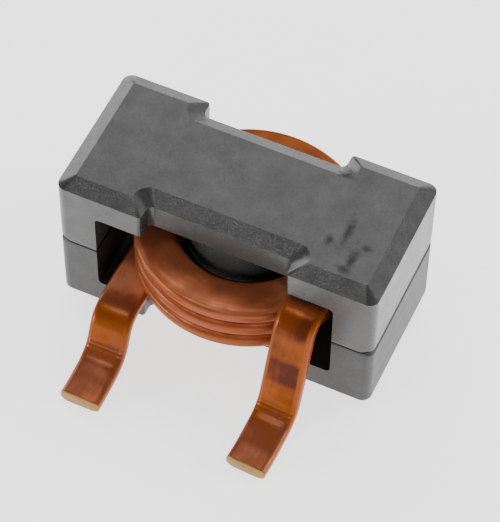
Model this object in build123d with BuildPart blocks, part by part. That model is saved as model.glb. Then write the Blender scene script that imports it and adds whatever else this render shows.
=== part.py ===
"""Gapped power inductor: two ferrite core halves around one edge-wound flat-wire winding.

The origin is the middle of the core's underside. +Z is up, and both leads leave the
front of the core, towards -Y, and end a little below it. All sizes are in millimetres.
"""

import os
from math import cos, radians, sin

from build123d import *

# ------------------------------------------------------------ core, both halves alike
core_length = 19.6
core_depth = 9.2
half_height = 5.2
window_fillet = 0.3
core_corner_radius = 0.6

waist_length = 8.9
waist_depth = 1.05
waist_fillet = 0.4
waist_edge_radius = 0.2

bevel_width = 0.9
bevel_height = 0.5
bevel_edge_radius = 0.12

post_clearance = 0.6
post_air_gap = 0.8

# ------------------------------------------------------------ adhesive
bond_thickness = 0.1
bond_recess = 0.15
dab_width = 1.6
dab_length = 2.4
dab_corner_radius = 0.7
dab_setback = 0.5

# ------------------------------------------------------------ winding
wire_width = 2.45
wire_thickness = 0.95
wire_edge_chamfer = 0.22
bore_radius = 4.05
winding_pitch = 1.2
winding_turns = 3.5
winding_seat_gap = 0.3
winding_head_gap = 0.65
winding_end_gap = 0.85
stations_per_turn = 8
run_out_turn = 0.5
run_out_drift = 0.5
run_out_skew = 3.0

# ------------------------------------------------------------ leads
foot_standoff = 0.3
lead_reach = 11.35
upper_bend_radius = 1.4
sole_bend_radius = 4.0

left_exit_run = 5.9
left_shank_angle = 64.0
left_heel_radius = 1.1
left_ramp_angle = 7.0
left_ramp_length = 1.2

right_exit_run = 4.3
right_shank_angle = 72.0
right_heel_radius = 2.0
right_ramp_angle = 12.0
right_ramp_length = 1.2

# ------------------------------------------------------------ worked-out places
# The window is cut to suit the winding, and the plate and legs are what is left round it.
winding_height = wire_thickness + winding_pitch * winding_turns
window_height = winding_seat_gap + winding_height + winding_head_gap
window_depth = (window_height - bond_thickness) / 2
window_half_length = bore_radius + wire_width + winding_end_gap
plate_thickness = half_height - window_depth
leg_width = core_length / 2 - window_half_length
post_radius = bore_radius - post_clearance
post_height = window_depth - (post_air_gap - bond_thickness) / 2
wire_radius = bore_radius + wire_width / 2
first_turn_height = plate_thickness + winding_seat_gap + wire_thickness / 2
last_turn_height = first_turn_height + winding_pitch * winding_turns
station_steps = round(winding_turns * stations_per_turn)

os.makedirs("parts", exist_ok=True)


# ------------------------------------------------------------ ferrite core
def plate_outline(inset):
    """Plan of a core half, drawn in by `inset`: a rectangle waisted on both long sides."""
    waist_side = waist_length / 2 + inset
    waist_wall = core_depth / 2 - waist_depth - inset
    with BuildSketch() as outline:
        Rectangle(core_length - 2 * inset, core_depth - 2 * inset)
        fillet(outline.vertices(), max(core_corner_radius - inset, bevel_edge_radius))
        for side, anchor in ((1, Align.MIN), (-1, Align.MAX)):
            with Locations((0, side * waist_wall)):
                Rectangle(
                    2 * waist_side,
                    core_depth,
                    align=(Align.CENTER, anchor),
                    mode=Mode.SUBTRACT,
                )
        # The outermost columns belong to the rounded corners, the next ones in to the waists.
        columns = outline.vertices().group_by(Axis.X)
        rows = (columns[2] + columns[-3]).group_by(Axis.Y)
        fillet(rows[0] + rows[-1], max(waist_edge_radius - inset, bevel_edge_radius))
        fillet(rows[1] + rows[-2], waist_fillet + inset)
    return outline.sketch


with BuildPart() as core_lower:
    # The pressed block, with its bevelled rim underneath.
    with BuildSketch():
        add(plate_outline(bevel_width))
    with BuildSketch(Plane.XY.offset(bevel_height)):
        add(plate_outline(0))
    loft(ruled=True)
    extrude(core_lower.faces().sort_by(Axis.Z)[-1], amount=half_height - bevel_height)
    # The winding window, open to the front, the back and the parting plane.
    with BuildSketch(Plane.XZ):
        with Locations((0, plate_thickness)):
            RectangleRounded(
                2 * window_half_length,
                2 * half_height,
                window_fillet,
                align=(Align.CENTER, Align.MIN),
            )
    extrude(amount=core_depth, both=True, mode=Mode.SUBTRACT)
    # The round centre post, ground short of the parting plane for the air gap.
    with BuildSketch(Plane.XY.offset(plate_thickness)):
        Circle(post_radius)
    extrude(amount=post_height)
core_lower.part.label = "core_lower"

with BuildPart() as core_upper:
    mirror(core_lower.part, about=Plane.XY.offset(half_height + bond_thickness / 2))
core_upper.part.label = "core_upper"


# ------------------------------------------------------------ adhesive
def leg_bond(side):
    """Thin layer of adhesive between the end faces of two outer legs, short of their edges."""
    with BuildPart() as bond:
        with BuildSketch(Plane.XY.offset(half_height)):
            with Locations((side * (core_length - leg_width) / 2, 0)):
                Rectangle(leg_width - 2 * bond_recess, core_depth - 2 * bond_recess)
        extrude(amount=bond_thickness)
    return bond.part


bond_left = leg_bond(-1)
bond_left.label = "bond_left"
bond_right = leg_bond(1)
bond_right.label = "bond_right"

with BuildPart() as winding_bond:
    # A dab of adhesive seats the first turn on the window floor, under the left exit.
    with BuildSketch(Plane.XY.offset(plate_thickness)):
        with Locations((-wire_radius, -dab_setback - dab_length / 2)):
            RectangleRounded(dab_width, dab_length, dab_corner_radius)
    extrude(amount=winding_seat_gap)
winding_bond.part.label = "winding_bond"


# ------------------------------------------------------------ winding
with BuildSketch() as wire_section:
    # Flat wire seen end on. Chamfers of the same area stand for its rounded edges.
    Rectangle(wire_width, wire_thickness)
    chamfer(wire_section.vertices(), wire_edge_chamfer)


def wire_station(turn):
    """Plane across the wire after `turn` turns, clockwise from the left exit.

    Over the last half turn the wire springs outwards and its heading turns inwards.
    """
    run_out = max(0.0, (turn - winding_turns + run_out_turn) / run_out_turn)
    release = run_out * run_out * (3 - 2 * run_out)
    angle = radians(180 - 360 * turn)
    heading = angle - radians(90 + run_out_skew * release)
    return Plane(
        origin=(
            (wire_radius + run_out_drift * release) * cos(angle),
            wire_radius * sin(angle),
            first_turn_height + winding_pitch * turn,
        ),
        x_dir=(-sin(heading), cos(heading), 0),
        z_dir=(cos(heading), sin(heading), 0),
    )


def lead_route(frame, exit_height, exit_run, shank_angle, heel_radius, ramp_angle, ramp_length):
    """Centreline of a formed lead from the coil to its tip, with run along X and height along Y."""
    drop = exit_height + foot_standoff - wire_thickness / 2
    shank_drop = (
        drop
        - upper_bend_radius * (1 - cos(radians(shank_angle)))
        - heel_radius * (cos(radians(ramp_angle)) - cos(radians(shank_angle)))
        - ramp_length * sin(radians(ramp_angle))
        - sole_bend_radius * (1 - cos(radians(ramp_angle)))
    )
    with BuildLine(frame) as route:
        exit_line = Line((0, 0), (exit_run, 0))
        upper_bend = JernArc(exit_line @ 1, exit_line % 1, upper_bend_radius, -shank_angle)
        shank = PolarLine(upper_bend @ 1, shank_drop / sin(radians(shank_angle)), -shank_angle)
        heel = JernArc(shank @ 1, shank % 1, heel_radius, shank_angle - ramp_angle)
        ramp = PolarLine(heel @ 1, ramp_length, -ramp_angle)
        sole_bend = JernArc(ramp @ 1, ramp % 1, sole_bend_radius, ramp_angle)
        Line(sole_bend @ 1, (lead_reach, -drop))
    return route.line


left_end = wire_station(0)
right_end = wire_station(winding_turns)
left_route = lead_route(
    Plane(left_end.origin, x_dir=-left_end.z_dir, z_dir=left_end.x_dir),
    first_turn_height,
    left_exit_run,
    left_shank_angle,
    left_heel_radius,
    left_ramp_angle,
    left_ramp_length,
)
right_route = lead_route(
    Plane(right_end.origin, x_dir=right_end.z_dir, z_dir=-right_end.x_dir),
    last_turn_height,
    right_exit_run,
    right_shank_angle,
    right_heel_radius,
    right_ramp_angle,
    right_ramp_length,
)

with BuildPart() as winding:
    # The coil, wound on edge.
    for step in range(station_steps + 1):
        with BuildSketch(wire_station(winding_turns * step / station_steps)):
            add(wire_section.sketch)
    loft()
    # The leads, formed down to the board in the same wire.
    for end_plane, route in ((left_end, left_route), (right_end, right_route)):
        with BuildSketch(end_plane):
            add(wire_section.sketch)
        sweep(path=route)
winding.part.label = "winding"

export_step(core_lower.part, "parts/core_lower.step")
export_step(core_upper.part, "parts/core_upper.step")
export_step(bond_left, "parts/bond_left.step")
export_step(bond_right, "parts/bond_right.step")
export_step(winding_bond.part, "parts/winding_bond.step")
export_step(winding.part, "parts/winding.step")
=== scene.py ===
from math import ceil, cos, pi, radians, sin, tau

import bmesh
import bpy
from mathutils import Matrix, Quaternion, Vector


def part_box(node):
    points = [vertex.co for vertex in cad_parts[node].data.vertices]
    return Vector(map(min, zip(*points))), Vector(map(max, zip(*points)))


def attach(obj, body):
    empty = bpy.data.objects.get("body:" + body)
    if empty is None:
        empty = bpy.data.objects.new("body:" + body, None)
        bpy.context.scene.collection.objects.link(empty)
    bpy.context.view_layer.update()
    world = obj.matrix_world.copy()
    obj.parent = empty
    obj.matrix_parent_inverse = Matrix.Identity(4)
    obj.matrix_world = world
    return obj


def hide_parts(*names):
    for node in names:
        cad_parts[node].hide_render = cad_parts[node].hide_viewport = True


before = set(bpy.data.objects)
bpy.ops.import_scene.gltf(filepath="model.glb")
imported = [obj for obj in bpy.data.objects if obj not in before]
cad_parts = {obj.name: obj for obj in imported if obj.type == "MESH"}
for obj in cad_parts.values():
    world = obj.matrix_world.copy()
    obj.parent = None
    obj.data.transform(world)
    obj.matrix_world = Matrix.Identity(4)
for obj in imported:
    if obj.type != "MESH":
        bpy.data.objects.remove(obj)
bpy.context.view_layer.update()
mm = 0.001


# ---------------------------------------------------------------- lower core half
# The lower ferrite half is one pressing: a plate, two outer legs and a round centre post.
# Sintered ferrite is a dark grey ceramic, finely grained, with a satin skin. The press gives
# the bevelled rim and the waist, tumbling breaks the edges, and the legs are ground flat.
lower_low, lower_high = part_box("core_lower")
core_length = lower_high.x - lower_low.x
core_depth = lower_high.y - lower_low.y
half_height = lower_high.z - lower_low.z
plate_thickness = 2.2 * mm
leg_width = 2.45 * mm
window_fillet = 0.3 * mm
core_corner_radius = 0.6 * mm
waist_length = 8.9 * mm
waist_depth = 1.05 * mm
waist_fillet = 0.4 * mm
waist_edge_radius = 0.2 * mm
bevel_width = 0.9 * mm
bevel_height = 0.5 * mm
bevel_edge_radius = 0.12 * mm
least_waist_wall = 0.02 * mm
post_radius = 3.45 * mm
post_height = 2.65 * mm
post_root = 1.1 * mm
post_steps = 96
broken_edge = 0.07 * mm
broken_edge_angle = radians(24)
joint_lip = 0.21 * mm
glue_creep = 0.12 * mm
worn_edge_radius = 0.12 * mm
# The lower half's colour is darker than the upper half's; the difference is painted shade.
lower_ferrite_and_painted_shade = (0.015, 0.015, 0.0148)
lower_roughness = 0.44
roughness_spread = 0.05
grease_black = (0.010, 0.010, 0.010, 1)
glue_black = (0.004, 0.004, 0.004, 1)


def rounded_loop(corners, steps=8):
    """Closed loop of points through corners given as (x, y, radius), each one rounded."""
    loop = []
    for index, (x, y, radius) in enumerate(corners):
        corner = Vector((x, y))
        before = (Vector(corners[index - 1][:2]) - corner).normalized()
        after = (Vector(corners[(index + 1) % len(corners)][:2]) - corner).normalized()
        centre = corner + (before + after) * radius
        for step in range(steps + 1):
            turn = step / steps * pi / 2
            loop.append(centre - after * radius * cos(turn) - before * radius * sin(turn))
    return loop


def plate_loop(inset):
    """Plan of a core half, drawn in by `inset`: a rectangle waisted on both long sides."""
    end = core_length / 2 - inset
    side = core_depth / 2 - inset
    waist_end = waist_length / 2 + inset
    waist_side = core_depth / 2 - waist_depth - inset
    corner = max(core_corner_radius - inset, bevel_edge_radius)
    edge = max(waist_edge_radius - inset, bevel_edge_radius)
    hollow = min(waist_fillet + inset, waist_depth - edge - least_waist_wall)
    right_half = [
        (waist_end, -waist_side, hollow),
        (waist_end, -side, edge),
        (end, -side, corner),
        (end, side, corner),
        (waist_end, side, edge),
        (waist_end, waist_side, hollow),
    ]
    left_half = [(-x, -y, radius) for x, y, radius in right_half]
    return rounded_loop(right_half + left_half)


def skin(name, loops):
    """Closed mesh object through loops of equally many points, capped at both ends."""
    shape = bmesh.new()
    rings = [[shape.verts.new(point) for point in loop] for loop in loops]
    for lower, upper in zip(rings, rings[1:]):
        for index in range(len(lower)):
            shape.faces.new((lower[index - 1], lower[index], upper[index], upper[index - 1]))
    shape.faces.new(rings[0])
    shape.faces.new(rings[-1])
    bmesh.ops.recalc_face_normals(shape, faces=shape.faces)
    mesh = bpy.data.meshes.new(name)
    shape.to_mesh(mesh)
    shape.free()
    piece = bpy.data.objects.new(name, mesh)
    bpy.context.scene.collection.objects.link(piece)
    return piece


def settle(piece):
    """Gives a piece the mesh that its modifiers make."""
    graph = bpy.context.evaluated_depsgraph_get()
    shaped = bpy.data.meshes.new_from_object(piece.evaluated_get(graph))
    piece.modifiers.clear()
    piece.data = shaped


def press_core_half(name, node, upturned):
    """A core half standing where its CAD node is, plate down, or plate up if it is upturned."""
    low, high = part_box(node)

    def level(height):
        return high.z - height if upturned else low.z + height

    def at(loop, height):
        return [Vector((point.x, point.y, level(height))) for point in loop]

    # The legs are ground back a little along the joint, at both ends of the core.
    lip_scale = Vector((1 - 2 * joint_lip / core_length, 1))
    half = skin(name, [
        at(plate_loop(bevel_width), 0),
        at(plate_loop(0), bevel_height),
        at(plate_loop(0), half_height - joint_lip),
        at([point * lip_scale for point in plate_loop(0)], half_height),
    ])
    # The winding window, and the post that stands in it.
    wall = core_length / 2 - leg_width
    profile = rounded_loop([
        (-wall, plate_thickness, window_fillet),
        (wall, plate_thickness, window_fillet),
        (wall, 2 * half_height, window_fillet),
        (-wall, 2 * half_height, window_fillet),
    ])
    window = skin("window_cutter", [
        [Vector((point.x, y, level(point.y))) for point in profile]
        for y in (-core_depth, core_depth)
    ])
    turns = [step * tau / post_steps for step in range(post_steps)]
    circle = [Vector((cos(turn), sin(turn))) * post_radius for turn in turns]
    post_top = plate_thickness + post_height
    post = skin("centre_post", [at(circle, plate_thickness - post_root), at(circle, post_top)])
    for tool, operation in ((window, "DIFFERENCE"), (post, "UNION")):
        cut = half.modifiers.new(operation.title(), "BOOLEAN")
        cut.operation = operation
        cut.object = tool
        cut.solver = "EXACT"
    settle(half)
    bpy.data.objects.remove(window)
    bpy.data.objects.remove(post)
    edge = half.modifiers.new("Broken edges", "BEVEL")
    edge.width = broken_edge
    edge.segments = 3
    edge.limit_method = "ANGLE"
    edge.angle_limit = broken_edge_angle
    edge.use_clamp_overlap = True
    settle(half)
    half.data.shade_smooth()
    half.modifiers.new("Even shading", "WEIGHTED_NORMAL").keep_sharp = True
    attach(half, "root")
    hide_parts(node)
    return half


def place(tree, kind, inputs=None, **settings):
    """Adds a node to a shader tree, with its settings and the values or links of its inputs."""
    node = tree.nodes.new(kind)
    for key, value in settings.items():
        setattr(node, key, value)
    for key, value in (inputs or {}).items():
        if isinstance(value, bpy.types.NodeSocket):
            tree.links.new(value, node.inputs[key])
        else:
            node.inputs[key].default_value = value
    return node


def remap(tree, value, start, end, **settings):
    """Carries a value over from one range to another, each given as (low, high)."""
    mapped = place(tree, "ShaderNodeMapRange", {
        "Value": value, "From Min": start[0], "From Max": start[1],
        "To Min": end[0], "To Max": end[1],
    }, **settings)
    return mapped.outputs["Result"]


def maths(tree, operation, *values):
    """Result of one step of arithmetic on values or links."""
    step = place(tree, "ShaderNodeMath", dict(enumerate(values)), operation=operation)
    return step.outputs["Value"]


def blend(tree, factor, first, second):
    """Colour mixed from two others by a factor."""
    mixed = place(tree, "ShaderNodeMix", {
        "Factor": factor, "A": first, "B": second,
    }, data_type="RGBA")
    return mixed.outputs["Result"]


def shader_group(name, inputs, outputs):
    """An empty shader group with named sockets. Returns it with its input and output nodes."""
    group = bpy.data.node_groups.new(name, "ShaderNodeTree")
    for socket, kind in inputs.items():
        group.interface.new_socket(socket, in_out="INPUT", socket_type=kind)
    for socket, kind in outputs.items():
        group.interface.new_socket(socket, in_out="OUTPUT", socket_type=kind)
    return group, group.nodes.new("NodeGroupInput"), group.nodes.new("NodeGroupOutput")


def make_grain_group():
    """Grain of a sintered surface: a coarse and a fine noise, mixed to one value."""
    group, given, result = shader_group("grain", {
        "Vector": "NodeSocketVector",
        "Coarse Scale": "NodeSocketFloat",
        "Fine Scale": "NodeSocketFloat",
        "Fine Share": "NodeSocketFloat",
    }, {"Value": "NodeSocketFloat"})
    coarse = place(group, "ShaderNodeTexNoise", {
        "Vector": given.outputs["Vector"], "Scale": given.outputs["Coarse Scale"],
        "Detail": 3.0, "Roughness": 0.55,
    })
    fine = place(group, "ShaderNodeTexNoise", {
        "Vector": given.outputs["Vector"], "Scale": given.outputs["Fine Scale"],
        "Detail": 2.0, "Roughness": 0.7,
    })
    mixed = place(group, "ShaderNodeMix", {
        "Factor": given.outputs["Fine Share"],
        "A": coarse.outputs["Fac"], "B": fine.outputs["Fac"],
    })
    group.links.new(mixed.outputs["Result"], result.inputs["Value"])
    return group


def make_worn_edge_group():
    """Mask of a piece's outer edges, broken up by a given noise, for wear and polish there."""
    group, given, result = shader_group("worn_edge", {
        "Radius": "NodeSocketFloat",
        "Break Up": "NodeSocketFloat",
    }, {"Mask": "NodeSocketFloat"})
    rounded = place(group, "ShaderNodeBevel", {"Radius": given.outputs["Radius"]}, samples=6)
    flat = place(group, "ShaderNodeNewGeometry")
    alike = place(group, "ShaderNodeVectorMath", {
        0: rounded.outputs["Normal"], 1: flat.outputs["Normal"],
    }, operation="DOT_PRODUCT")
    edge = remap(group, alike.outputs["Value"], (0.995, 0.90), (0.0, 1.0))
    broken = remap(group, given.outputs["Break Up"], (0.35, 0.65), (0.25, 1.0))
    group.links.new(maths(group, "MULTIPLY", edge, broken), result.inputs["Mask"])
    return group


def make_smudge_group():
    """Mask of one rubbed smudge: an oval about a centre, with a ragged outline."""
    group, given, result = shader_group("smudge", {
        "Vector": "NodeSocketVector",
        "Ragged": "NodeSocketFloat",
        "Centre": "NodeSocketVector",
        "Size": "NodeSocketVector",
    }, {"Mask": "NodeSocketFloat"})
    offset = place(group, "ShaderNodeVectorMath", {
        0: given.outputs["Vector"], 1: given.outputs["Centre"],
    }, operation="SUBTRACT")
    scaled = place(group, "ShaderNodeVectorMath", {
        0: offset.outputs["Vector"], 1: given.outputs["Size"],
    }, operation="DIVIDE")
    reach = place(group, "ShaderNodeVectorMath", {
        0: scaled.outputs["Vector"],
    }, operation="LENGTH")
    ragged = maths(group, "MULTIPLY_ADD", given.outputs["Ragged"], 1.6, reach.outputs["Value"])
    group.links.new(remap(group, ragged, (1.0, 1.9), (1.0, 0.0)), result.inputs["Mask"])
    return group


def make_fleck_group():
    """Fine flecks of a pressed skin, strong on its bevels and faint on walls and flat faces."""
    group, given, result = shader_group("flecks", {
        "Vector": "NodeSocketVector",
        "Scale": "NodeSocketFloat",
        "Flat Share": "NodeSocketFloat",
    }, {"Value": "NodeSocketFloat"})
    fine = place(group, "ShaderNodeTexNoise", {
        "Vector": given.outputs["Vector"], "Scale": given.outputs["Scale"],
        "Detail": 2.0, "Roughness": 0.75,
    })
    centred = remap(group, fine.outputs["Fac"], (0.33, 0.67), (-1.0, 1.0), clamp=False)
    where = place(group, "ShaderNodeTexCoord")
    facing = place(group, "ShaderNodeSeparateXYZ", {"Vector": where.outputs["Normal"]})
    # Black for an upright wall, white for a bevel and black again for a level face.
    slope = place(group, "ShaderNodeValToRGB", {
        "Fac": maths(group, "ABSOLUTE", facing.outputs["Z"]),
    })
    stops = slope.color_ramp.elements
    stops[0].position = 0.30
    stops[1].position = 0.985
    stops[1].color = (0, 0, 0, 1)
    for position in (0.55, 0.93):
        stops.new(position).color = (1, 1, 1, 1)
    share = maths(group, "MAXIMUM", slope.outputs["Color"], given.outputs["Flat Share"])
    group.links.new(maths(group, "MULTIPLY", centred, share), result.inputs["Value"])
    return group


grain_group = make_grain_group()
fleck_group = make_fleck_group()
worn_edge_group = make_worn_edge_group()
smudge_group = make_smudge_group()


def ferrite(name, colour, roughness, parting_level, smudges=()):
    """Fine grained ferrite: flecked bevels, worn edges, a glue-dark joint and rubbed smudges."""
    def shade(share):
        return (*[share * part for part in colour], 1)

    material = bpy.data.materials.new(name)
    material.use_nodes = True
    tree = material.node_tree
    shader = tree.nodes["Principled BSDF"]
    shader.inputs["IOR"].default_value = 1.5
    where = place(tree, "ShaderNodeTexCoord")
    in_mm = place(tree, "ShaderNodeVectorMath", {
        0: where.outputs["Object"], "Scale": 1 / mm,
    }, operation="SCALE").outputs["Vector"]
    grain = place(tree, "ShaderNodeGroup", {
        "Vector": in_mm, "Coarse Scale": 0.9, "Fine Scale": 9.0, "Fine Share": 0.5,
    }, node_tree=grain_group).outputs["Value"]
    flecks = place(tree, "ShaderNodeGroup", {
        "Vector": in_mm, "Scale": 7.0, "Flat Share": 0.30,
    }, node_tree=fleck_group).outputs["Value"]
    mottle = maths(tree, "MULTIPLY_ADD", flecks, 0.12, grain)
    relief = maths(tree, "MULTIPLY_ADD", flecks, 0.05, grain)
    shades = place(tree, "ShaderNodeValToRGB", {"Fac": mottle})
    darkest, lightest = shades.color_ramp.elements
    darkest.position, darkest.color = 0.30, shade(0.45)
    lightest.position, lightest.color = 0.72, shade(1.75)
    surface = shades.outputs["Color"]
    if smudges:
        # A rub of dark grease takes the shine off the skin as well as its colour.
        rub = 0.0
        for centre, size in smudges:
            smudge = place(tree, "ShaderNodeGroup", {
                "Vector": in_mm, "Ragged": grain, "Centre": centre, "Size": size,
            }, node_tree=smudge_group)
            rub = maths(tree, "MAXIMUM", rub, smudge.outputs["Mask"])
        surface = blend(tree, rub, surface, grease_black)
        tree.links.new(maths(tree, "MULTIPLY", rub, 0.6), shader.inputs["Metallic"])
    # Tumbled edges are chipped dark and rubbed light in turns, as the flecks fall.
    edge = place(tree, "ShaderNodeGroup", {
        "Radius": worn_edge_radius, "Break Up": grain,
    }, node_tree=worn_edge_group)
    chips = remap(tree, flecks, (-0.35, 0.35), (0.0, 1.0))
    edge_colour = blend(tree, chips, shade(0.4), shade(2.6))
    surface = blend(tree, edge.outputs["Mask"], surface, edge_colour)
    # Black adhesive has crept to the lips of the joint between the halves.
    height = place(tree, "ShaderNodeSeparateXYZ", {"Vector": in_mm})
    at_joint = maths(tree, "COMPARE", height.outputs["Z"], parting_level, glue_creep / mm)
    surface = blend(tree, at_joint, surface, glue_black)
    tree.links.new(surface, shader.inputs["Base Color"])
    rough = remap(tree, mottle, (0.3, 0.7), (
        roughness + roughness_spread, roughness - roughness_spread,
    ))
    tree.links.new(rough, shader.inputs["Roughness"])
    bump = place(tree, "ShaderNodeBump", {
        "Height": relief, "Strength": 0.4, "Distance": 0.04 * mm,
    })
    tree.links.new(bump.outputs["Normal"], shader.inputs["Normal"])
    return material


core_lower = press_core_half("ferrite_lower", "core_lower", upturned=False)
core_lower.data.materials.append(
    ferrite("lower_ferrite_and_painted_shade", lower_ferrite_and_painted_shade, lower_roughness, lower_high.z / mm)
)


# ---------------------------------------------------------------- winding
# One length of flat copper wire with a clear amber enamel, wound on edge round the post.
# Both ends run out to the front and are formed down to the board in press tools, which
# leave small cross ridges in the heels. The cut ends and the soles are tinned.
winding_low, winding_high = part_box("winding")
dab_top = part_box("winding_bond")[1].z
wire_width = 2.45 * mm
wire_thickness = 0.95 * mm
wire_edge_radius = 0.33 * mm
winding_turns = 3.5
wire_radius = -winding_low.x - wire_width / 2
sole_height = winding_low.z
first_turn_height = dab_top + wire_thickness / 2
last_turn_height = winding_high.z - wire_thickness / 2
run_out_turn = 0.5
run_out_drift = 0.5 * mm
run_out_skew = 3.0
lead_reach = 11.35 * mm
upper_bend_radius = 1.4 * mm
sole_bend_radius = 4.0 * mm
steps_per_turn = 96
station_spacing = 0.06 * mm
face_spacing = 0.25 * mm
wire_crown = 0.04 * mm
left_heel_place = 3.3 * mm
right_heel_place = 4.4 * mm
ridge_spacing = 0.34 * mm
ridge_count = 3
ridge_depth = 0.02 * mm
cut_end_burr = 0.05 * mm
tinned_from = -9.6 * mm
# Distance from the cut end in mm, and a value there for the enamel colour: 0 is thick dark enamel,
# 1 is rubbed thin and pale. The values are partly enamel wear and mostly painted light: the orange
# bands are painted reflections, and the dark bands are painted shade and painted dark reflections.
left_wear_and_painted_light = (
    (0.0, 0.64), (1.4, 0.60), (2.6, 0.60), (3.0, 0.54), (4.2, 0.48), (4.6, 0.34),
    (5.4, 0.36), (5.8, 0.28), (6.3, 0.52), (6.8, 0.84), (7.6, 1.0), (9.0, 1.0),
    (12.0, 0.86),
)
right_wear_and_painted_light = (
    (0.0, 0.60), (1.3, 0.56), (2.1, 0.58), (2.9, 0.56), (3.4, 0.46), (4.2, 0.42),
    (4.8, 0.38), (5.3, 0.30), (5.9, 0.26), (6.4, 0.04), (7.5, 0.0), (8.1, 0.26),
    (9.2, 0.28), (9.7, 0.14), (10.4, 0.18), (11.2, 0.58), (13.0, 0.64), (15.0, 0.60),
    (18.0, 0.28), (28.0, 0.30), (31.0, 0.76), (33.5, 0.74), (35.0, 0.64), (37.5, 0.80),
    (41.0, 0.82), (43.0, 0.76), (46.0, 0.90), (52.0, 0.88),
)
# Ramp colours from thick enamel to rubbed thin. Through the wear tables the orange and pale ones
# also serve as painted reflections, and the dark one as painted shade and painted dark
# reflections.
enamel_dark = (0.070, 0.014, 0.007)
enamel_orange = (0.265, 0.060, 0.007)
enamel_brown = (0.235, 0.068, 0.032)
enamel_thin = (0.46, 0.132, 0.055)
enamel_pale = (0.84, 0.31, 0.17)
tin_thin = (0.22, 0.11, 0.04)
tin_thick = (0.31, 0.17, 0.05)


def coil_station(turn):
    """Centre, outward side and up direction of the wire after `turn` turns from the left exit."""
    run_out = max(0.0, (turn - winding_turns + run_out_turn) / run_out_turn)
    release = run_out * run_out * (3 - 2 * run_out)
    angle = radians(180 - 360 * turn)
    facing = angle - radians(run_out_skew * release)
    climb = turn / winding_turns
    centre = Vector((
        (wire_radius + run_out_drift * release) * cos(angle),
        wire_radius * sin(angle),
        first_turn_height + (last_turn_height - first_turn_height) * climb,
    ))
    return centre, Vector((cos(facing), sin(facing), 0)), Vector((0, 0, 1))


def lead_stations(start, forward, exit_run, shank_angle, heel_radius, ramp_angle, ramp_length):
    """Stations down a formed lead from coil to tip: run, bend, shank, heel, ramp and sole."""
    centre, side, up = start
    shank_turn = radians(shank_angle)
    ramp_turn = radians(ramp_angle)
    shank_drop = (
        centre.z - sole_height - wire_thickness / 2
        - upper_bend_radius * (1 - cos(shank_turn))
        - heel_radius * (cos(ramp_turn) - cos(shank_turn))
        - ramp_length * sin(ramp_turn)
        - sole_bend_radius * (1 - cos(ramp_turn))
    )
    stretches = [
        (exit_run, 0),
        (upper_bend_radius * shank_turn, -shank_turn),
        (shank_drop / sin(shank_turn), 0),
        (heel_radius * (shank_turn - ramp_turn), shank_turn - ramp_turn),
        (ramp_length, 0),
        (sole_bend_radius * ramp_turn, ramp_turn),
    ]
    run, height, heading = 0.0, 0.0, 0.0
    found = []
    for stretch in range(len(stretches) + 1):
        length, turn = stretches[stretch] if stretch < len(stretches) else (lead_reach - run, 0)
        steps = ceil(length / station_spacing)
        chord = length / steps
        if turn != 0:
            chord = 2 * length / abs(turn) * sin(abs(turn) / steps / 2)
        for step in range(steps):
            middle = heading + turn / steps / 2
            run += chord * cos(middle)
            height += chord * sin(middle)
            heading += turn / steps
            found.append((
                centre + forward * run + up * height,
                side,
                up * cos(heading) - forward * sin(heading),
            ))
    return found


def wire_loop():
    """Outline of the wire seen end on: flat rolled faces, faintly crowned, and rounded edges."""
    half_width, half_thickness = wire_width / 2, wire_thickness / 2
    corners = rounded_loop([
        (-half_width, -half_thickness, wire_edge_radius),
        (half_width, -half_thickness, wire_edge_radius),
        (half_width, half_thickness, wire_edge_radius),
        (-half_width, half_thickness, wire_edge_radius),
    ])
    loop = []
    for start, end in zip(corners, corners[1:] + corners[:1]):
        parts = ceil((end - start).length / face_spacing)
        loop += [start.lerp(end, part / parts) for part in range(parts)]
    return [
        Vector((x, y - wire_crown * (x / half_width) ** 2 * y / half_thickness))
        for x, y in loop
    ]


def tool_marks(travel, heel_place):
    """Depth of the fine cross ridges that the forming tool leaves in the heel of a lead."""
    place_in_heel = (travel - heel_place) / ridge_spacing
    if not 0 < place_in_heel < ridge_count:
        return 0.0
    return ridge_depth * (0.5 - 0.5 * cos(tau * place_in_heel))


def wear_and_painted_light_at(distance, stops):
    """Enamel wear and painted reflection and shade at a distance from a cut end, blended between
    stops.
    """
    for (near, low), (far, high) in zip(stops, stops[1:]):
        if distance < far:
            blend = (distance - near) / (far - near)
            return low + (high - low) * blend * blend * (3 - 2 * blend)
    return stops[-1][1]


def draw_wire(name, stations, heels):
    """Skins the wire over its stations, with softened cut ends and tool marks in both heels."""
    section = wire_loop()
    shrink = 1 - 2 * cut_end_burr / wire_thickness
    travel = [0.0]
    for near, far in zip(stations, stations[1:]):
        travel.append(travel[-1] + (far[0] - near[0]).length)
    loops = []
    for index, (centre, side, up) in enumerate(stations):
        size = shrink if index in (0, len(stations) - 1) else 1.0
        mark = sum(tool_marks(travel[index], heel) for heel in heels)
        loop = []
        for point in section:
            height = point.y * size - (mark if point.y > 0 else 0.0)
            loop.append(centre + side * point.x * size + up * height)
        loops.append(loop)
    wire = skin(name, loops)
    along = wire.data.attributes.new("along_mm", "FLOAT", "POINT")
    across = wire.data.attributes.new("across_mm", "FLOAT", "POINT")
    # Each ring gets one value from the tables: enamel wear, with painted reflections and painted
    # shade.
    rub_and_painted_light = wire.data.attributes.new("rub_and_painted_light", "FLOAT", "POINT")
    for ring, distance in enumerate(travel):
        from_right_end = (travel[-1] - distance) / mm
        if distance / mm < from_right_end:
            wear_and_painted_light = wear_and_painted_light_at(distance / mm, left_wear_and_painted_light)
        else:
            wear_and_painted_light = wear_and_painted_light_at(from_right_end, right_wear_and_painted_light)
        for index, point in enumerate(section):
            vertex = ring * len(section) + index
            along.data[vertex].value = distance / mm
            across.data[vertex].value = point.x / mm
            rub_and_painted_light.data[vertex].value = wear_and_painted_light
    return wire


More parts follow.
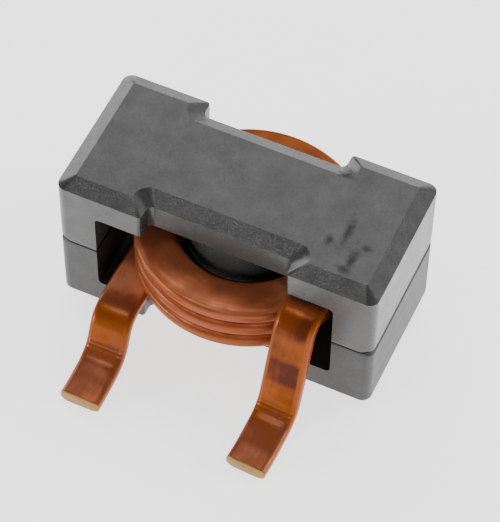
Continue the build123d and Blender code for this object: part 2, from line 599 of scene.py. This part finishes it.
coil_steps = ceil(winding_turns * steps_per_turn)
coil = [coil_station(winding_turns * step / coil_steps) for step in range(coil_steps + 1)]
left_lead = lead_stations(
    coil[0], Vector((0, -1, 0)),
    exit_run=5.9 * mm, shank_angle=64, heel_radius=2.0 * mm, ramp_angle=7, ramp_length=0.9 * mm,
)
right_forward = Vector((0, 0, 1)).cross(coil[-1][1]) * -1
right_lead = lead_stations(
    coil[-1], right_forward,
    exit_run=4.3 * mm, shank_angle=72, heel_radius=2.0 * mm, ramp_angle=12, ramp_length=1.2 * mm,
)
wire_path = left_lead[::-1] + coil + right_lead
wire_length = sum((far[0] - near[0]).length for near, far in zip(wire_path, wire_path[1:]))
winding = draw_wire("copper_winding", wire_path, (left_heel_place, wire_length - right_heel_place))
winding.data.shade_smooth()


def enamelled_copper():
    """Copper seen through amber enamel: deep and red where thick, orange to pale where rubbed,
    with painted reflections and painted shade carried in the same value.
    """
    material = bpy.data.materials.new("enamelled_copper")
    material.use_nodes = True
    tree = material.node_tree
    shader = tree.nodes["Principled BSDF"]
    shader.inputs["Specular IOR Level"].default_value = 0.12
    shader.inputs["Specular Tint"].default_value = (1.0, 0.5, 0.25, 1)
    shader.inputs["Coat Weight"].default_value = 0.06
    shader.inputs["Coat Roughness"].default_value = 0.12
    shader.inputs["Coat IOR"].default_value = 1.5
    along = place(tree, "ShaderNodeAttribute", attribute_name="along_mm")
    across = place(tree, "ShaderNodeAttribute", attribute_name="across_mm")
    wire_space = place(tree, "ShaderNodeCombineXYZ", {
        "X": along.outputs["Fac"], "Y": across.outputs["Fac"],
    })
    clouds = place(tree, "ShaderNodeTexNoise", {
        "Vector": wire_space.outputs["Vector"], "Scale": 0.7, "Detail": 2.0, "Roughness": 0.5,
    })
    # Streaks run along the wire, as it was drawn.
    stretched = place(tree, "ShaderNodeVectorMath", {
        0: wire_space.outputs["Vector"], 1: (0.10, 1.0, 1.0),
    }, operation="MULTIPLY")
    streaks = place(tree, "ShaderNodeTexNoise", {
        "Vector": stretched.outputs["Vector"], "Scale": 4.5, "Detail": 3.0, "Roughness": 0.6,
    })
    depth = place(tree, "ShaderNodeMix", {
        "Factor": 0.25, "A": clouds.outputs["Fac"], "B": streaks.outputs["Fac"],
    }).outputs["Result"]
    # The long edges of the faces are rubbed too, most where the middle is thick.
    # The value from the tables carries painted reflections and painted shade as well as enamel
    # wear.
    rub_and_painted_light = place(tree, "ShaderNodeAttribute", attribute_name="rub_and_painted_light")
    reach = maths(tree, "ABSOLUTE", across.outputs["Fac"])
    face_edge = remap(tree, reach, (0.84, 1.02), (0.0, 0.40), interpolation_type="SMOOTHSTEP")
    wear_and_painted_light = maths(tree, "MAXIMUM", rub_and_painted_light.outputs["Fac"], face_edge)
    # Nothing rubs the rounded sides of the wire far.
    most = remap(tree, reach, (1.0, 1.15), (1.0, 0.5))
    uneven = remap(tree, depth, (0.3, 0.7), (-0.18, 0.12))
    thin_and_painted_light = maths(tree, "ADD", maths(tree, "MINIMUM", wear_and_painted_light, most), uneven)
    colour = place(tree, "ShaderNodeValToRGB", {"Fac": thin_and_painted_light})
    stops = colour.color_ramp.elements
    stops[0].color = (*enamel_dark, 1)
    stops[1].color = (*enamel_pale, 1)
    for position, tone in ((0.32, enamel_orange), (0.58, enamel_brown), (0.82, enamel_thin)):
        stops.new(position).color = (*tone, 1)
    tree.links.new(colour.outputs["Color"], shader.inputs["Base Color"])
    metal = remap(tree, clouds.outputs["Fac"], (0.3, 0.7), (0.16, 0.34))
    tree.links.new(metal, shader.inputs["Metallic"])
    rough = remap(tree, streaks.outputs["Fac"], (0.3, 0.7), (0.34, 0.26))
    tree.links.new(rough, shader.inputs["Roughness"])
    bump = place(tree, "ShaderNodeBump", {
        "Height": depth, "Strength": 0.20, "Distance": 0.02 * mm,
    })
    tree.links.new(bump.outputs["Normal"], shader.inputs["Normal"])
    return material


def tinned_copper():
    """Thin pale solder over the cut copper, wavy where it cooled, warmer where it is thinnest."""
    material = bpy.data.materials.new("tinned_copper")
    material.use_nodes = True
    tree = material.node_tree
    shader = tree.nodes["Principled BSDF"]
    shader.inputs["Metallic"].default_value = 0.7
    shader.inputs["Specular IOR Level"].default_value = 0.2
    where = place(tree, "ShaderNodeTexCoord")
    waves = place(tree, "ShaderNodeTexNoise", {
        "Vector": where.outputs["Object"], "Scale": 2600.0, "Detail": 3.0, "Roughness": 0.6,
    }).outputs["Fac"]
    colour = place(tree, "ShaderNodeValToRGB", {"Fac": waves})
    thinnest, thickest = colour.color_ramp.elements
    thinnest.position, thinnest.color = 0.3, (*tin_thin, 1)
    thickest.position, thickest.color = 0.55, (*tin_thick, 1)
    tree.links.new(colour.outputs["Color"], shader.inputs["Base Color"])
    tree.links.new(remap(tree, waves, (0.3, 0.7), (0.30, 0.48)), shader.inputs["Roughness"])
    bump = place(tree, "ShaderNodeBump", {
        "Height": waves, "Strength": 0.5, "Distance": 0.03 * mm,
    })
    tree.links.new(bump.outputs["Normal"], shader.inputs["Normal"])
    return material


winding.data.materials.append(enamelled_copper())
winding.data.materials.append(tinned_copper())
for face in winding.data.polygons:
    faces_board = face.normal.z < -0.35
    faces_front = face.normal.y < -0.5
    if face.center.y < tinned_from and (faces_board or faces_front):
        face.material_index = 1
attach(winding, "root")
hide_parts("winding")


# ---------------------------------------------------------------- adhesive
# Black epoxy, cured. A thin layer with rounded corners joins the end faces of the outer legs
# and fills the lips ground along them. A dab on the plate seats the first turn of the coil.
layer_setback = 0.12 * mm
layer_corner_radius = 0.4 * mm
dab_corner_radius = 0.7 * mm
epoxy_pit = (0.008, 0.008, 0.009)
epoxy_skin = (0.030, 0.030, 0.032)


def cured_epoxy():
    """Black epoxy with a dull skin, slightly pitted."""
    material = bpy.data.materials.new("cured_epoxy")
    material.use_nodes = True
    tree = material.node_tree
    shader = tree.nodes["Principled BSDF"]
    where = place(tree, "ShaderNodeTexCoord")
    pits = place(tree, "ShaderNodeTexNoise", {
        "Vector": where.outputs["Object"], "Scale": 4000.0, "Detail": 2.0,
    }).outputs["Fac"]
    colour = place(tree, "ShaderNodeValToRGB", {"Fac": pits})
    colour.color_ramp.elements[0].color = (*epoxy_pit, 1)
    colour.color_ramp.elements[1].color = (*epoxy_skin, 1)
    tree.links.new(colour.outputs["Color"], shader.inputs["Base Color"])
    tree.links.new(remap(tree, pits, (0.3, 0.7), (0.45, 0.7)), shader.inputs["Roughness"])
    bump = place(tree, "ShaderNodeBump", {
        "Height": pits, "Strength": 0.4, "Distance": 0.02 * mm,
    })
    tree.links.new(bump.outputs["Normal"], shader.inputs["Normal"])
    return material


epoxy = cured_epoxy()
core_lower.data.materials.append(epoxy)
for face in core_lower.data.polygons:
    in_lip = face.center.z > lower_high.z - joint_lip
    slants_outward = abs(face.normal.x) > 0.2 and 0.2 < face.normal.z < 0.95
    if in_lip and slants_outward:
        face.material_index = 1
for node, setback, radius in (
    ("bond_left", layer_setback, layer_corner_radius),
    ("bond_right", layer_setback, layer_corner_radius),
    ("winding_bond", 0.0, dab_corner_radius),
):
    low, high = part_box(node)
    left, right = low.x + setback, high.x - setback
    front, rear = low.y + setback, high.y - setback
    outline = rounded_loop([
        (left, front, radius), (right, front, radius),
        (right, rear, radius), (left, rear, radius),
    ])
    adhesive = skin("epoxy_" + node, [
        [Vector((*point, z)) for point in outline] for z in (low.z, high.z)
    ])
    adhesive.data.materials.append(epoxy)
    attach(adhesive, "root")
    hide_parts(node)


# ---------------------------------------------------------------- upper core half
# The same pressing turned over and glued on, with a smoother skin and a paler colour than the
# lower half, whose darker colour is painted shade. Its top is left bare. It has picked up a few
# dark rubbed smudges near the right end from handling.
upper_ferrite = (0.034, 0.034, 0.0335)
upper_roughness = 0.29
upper_low, upper_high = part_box("core_upper")
top_level = upper_high.z / mm
# Centre and half widths of each smudge, in mm.
smudges = (
    ((6.5, -0.85, top_level), (0.34, 1.10, 1.0)),
    ((5.75, -1.7, top_level), (0.36, 0.50, 1.0)),
    ((7.9, -1.45, top_level), (0.42, 0.30, 1.0)),
    ((7.45, -2.6, top_level), (0.34, 0.95, 1.0)),
    ((7.25, -3.25, top_level), (0.60, 0.38, 1.0)),
    ((4.75, 2.75, top_level), (0.55, 0.30, 1.0)),
)
core_upper = press_core_half("ferrite_upper", "core_upper", upturned=True)
core_upper.data.materials.append(
    ferrite("upper_ferrite", upper_ferrite, upper_roughness, upper_low.z / mm, smudges)
)


# ---------------------------------------------------------------- floor
# A seamless sheet of white paper over a light table, so that it glows evenly. The part
# stands on it by the soles of its leads.
floor_half = 2.0
floor_thickness = 5 * mm
floor_glow = 1.7
paper_white = (0.93, 0.93, 0.93, 1)
floor_plan = [
    (-floor_half, -floor_half), (floor_half, -floor_half),
    (floor_half, floor_half), (-floor_half, floor_half),
]
floor = skin("studio_floor", [
    [Vector((*corner, z)) for corner in floor_plan]
    for z in (sole_height - floor_thickness, sole_height)
])
paper = bpy.data.materials.new("studio_paper")
paper.use_nodes = True
paper_shader = paper.node_tree.nodes["Principled BSDF"]
paper_shader.inputs["Base Color"].default_value = paper_white
paper_shader.inputs["Roughness"].default_value = 0.9
paper_shader.inputs["Emission Color"].default_value = (1, 1, 1, 1)
paper_shader.inputs["Emission Strength"].default_value = floor_glow
floor.data.materials.append(paper)


# ---------------------------------------------------------------- light
# Soft white panels in an evenly lit white room. A small one hangs overhead, wide ones stand
# high behind and to both sides, and low ones graze the front, the left and the right.
panel_distance = 1.4
wide_panel = 0.9
room_strength = 0.2


def soft_panel(name, direction, size, power):
    """A square soft light that faces the part from a direction."""
    lamp = bpy.data.lights.new(name, "AREA")
    lamp.shape = "SQUARE"
    lamp.size = size
    lamp.energy = power
    panel = bpy.data.objects.new(name, lamp)
    away = Vector(direction).normalized()
    panel.location = away * panel_distance
    panel.rotation_mode = "QUATERNION"
    panel.rotation_quaternion = away.to_track_quat("Z", "Y")
    bpy.context.scene.collection.objects.link(panel)


soft_panel("panel_overhead", (-0.24, -0.24, 0.94), size=0.28, power=2.3)
soft_panel("panel_high_back", (-0.2, 0.7, 1.0), size=wide_panel, power=6.6)
soft_panel("panel_high_right", (0.56, 0.53, 0.63), size=wide_panel, power=3.2)
soft_panel("panel_back_left", (-0.85, 0.55, 0.30), size=wide_panel, power=10.0)
soft_panel("panel_back", (0.1, 1.0, 0.3), size=wide_panel, power=3.0)
soft_panel("panel_low_left", (-0.8, -0.75, 0.12), size=0.45, power=12.0)
soft_panel("panel_low_front", (0.35, -1.0, 0.16), size=wide_panel, power=6.0)
soft_panel("panel_low_right", (1.0, 0.45, 0.10), size=wide_panel, power=24.0)
room = bpy.data.worlds.new("white_room")
room.use_nodes = True
room_light = room.node_tree.nodes["Background"]
room_light.inputs["Color"].default_value = (1.0, 1.0, 1.0, 1)
room_light.inputs["Strength"].default_value = room_strength
bpy.context.scene.world = room


# ---------------------------------------------------------------- camera
# A long lens looking down on the front right corner of the part, all of which it frames.
camera_aim = Vector((-0.26, 1.12, 1.29)) * mm
camera_distance = 153.6 * mm
camera_azimuth = radians(24.0)
camera_elevation = radians(54.36)
camera_roll = radians(0.97)
camera_data = bpy.data.cameras.new("camera")
camera_data.lens = 179.24
camera_data.sensor_width = 36
camera_data.clip_start = 1 * mm
camera_data.clip_end = 20
camera = bpy.data.objects.new("camera", camera_data)
back = Vector((
    sin(camera_azimuth) * cos(camera_elevation),
    -cos(camera_azimuth) * cos(camera_elevation),
    sin(camera_elevation),
))
camera.location = camera_aim + back * camera_distance
camera.rotation_mode = "QUATERNION"
camera.rotation_quaternion = (-back).to_track_quat("-Z", "Y") @ Quaternion((0, 0, 1), camera_roll)
bpy.context.scene.collection.objects.link(camera)
bpy.context.scene.camera = camera
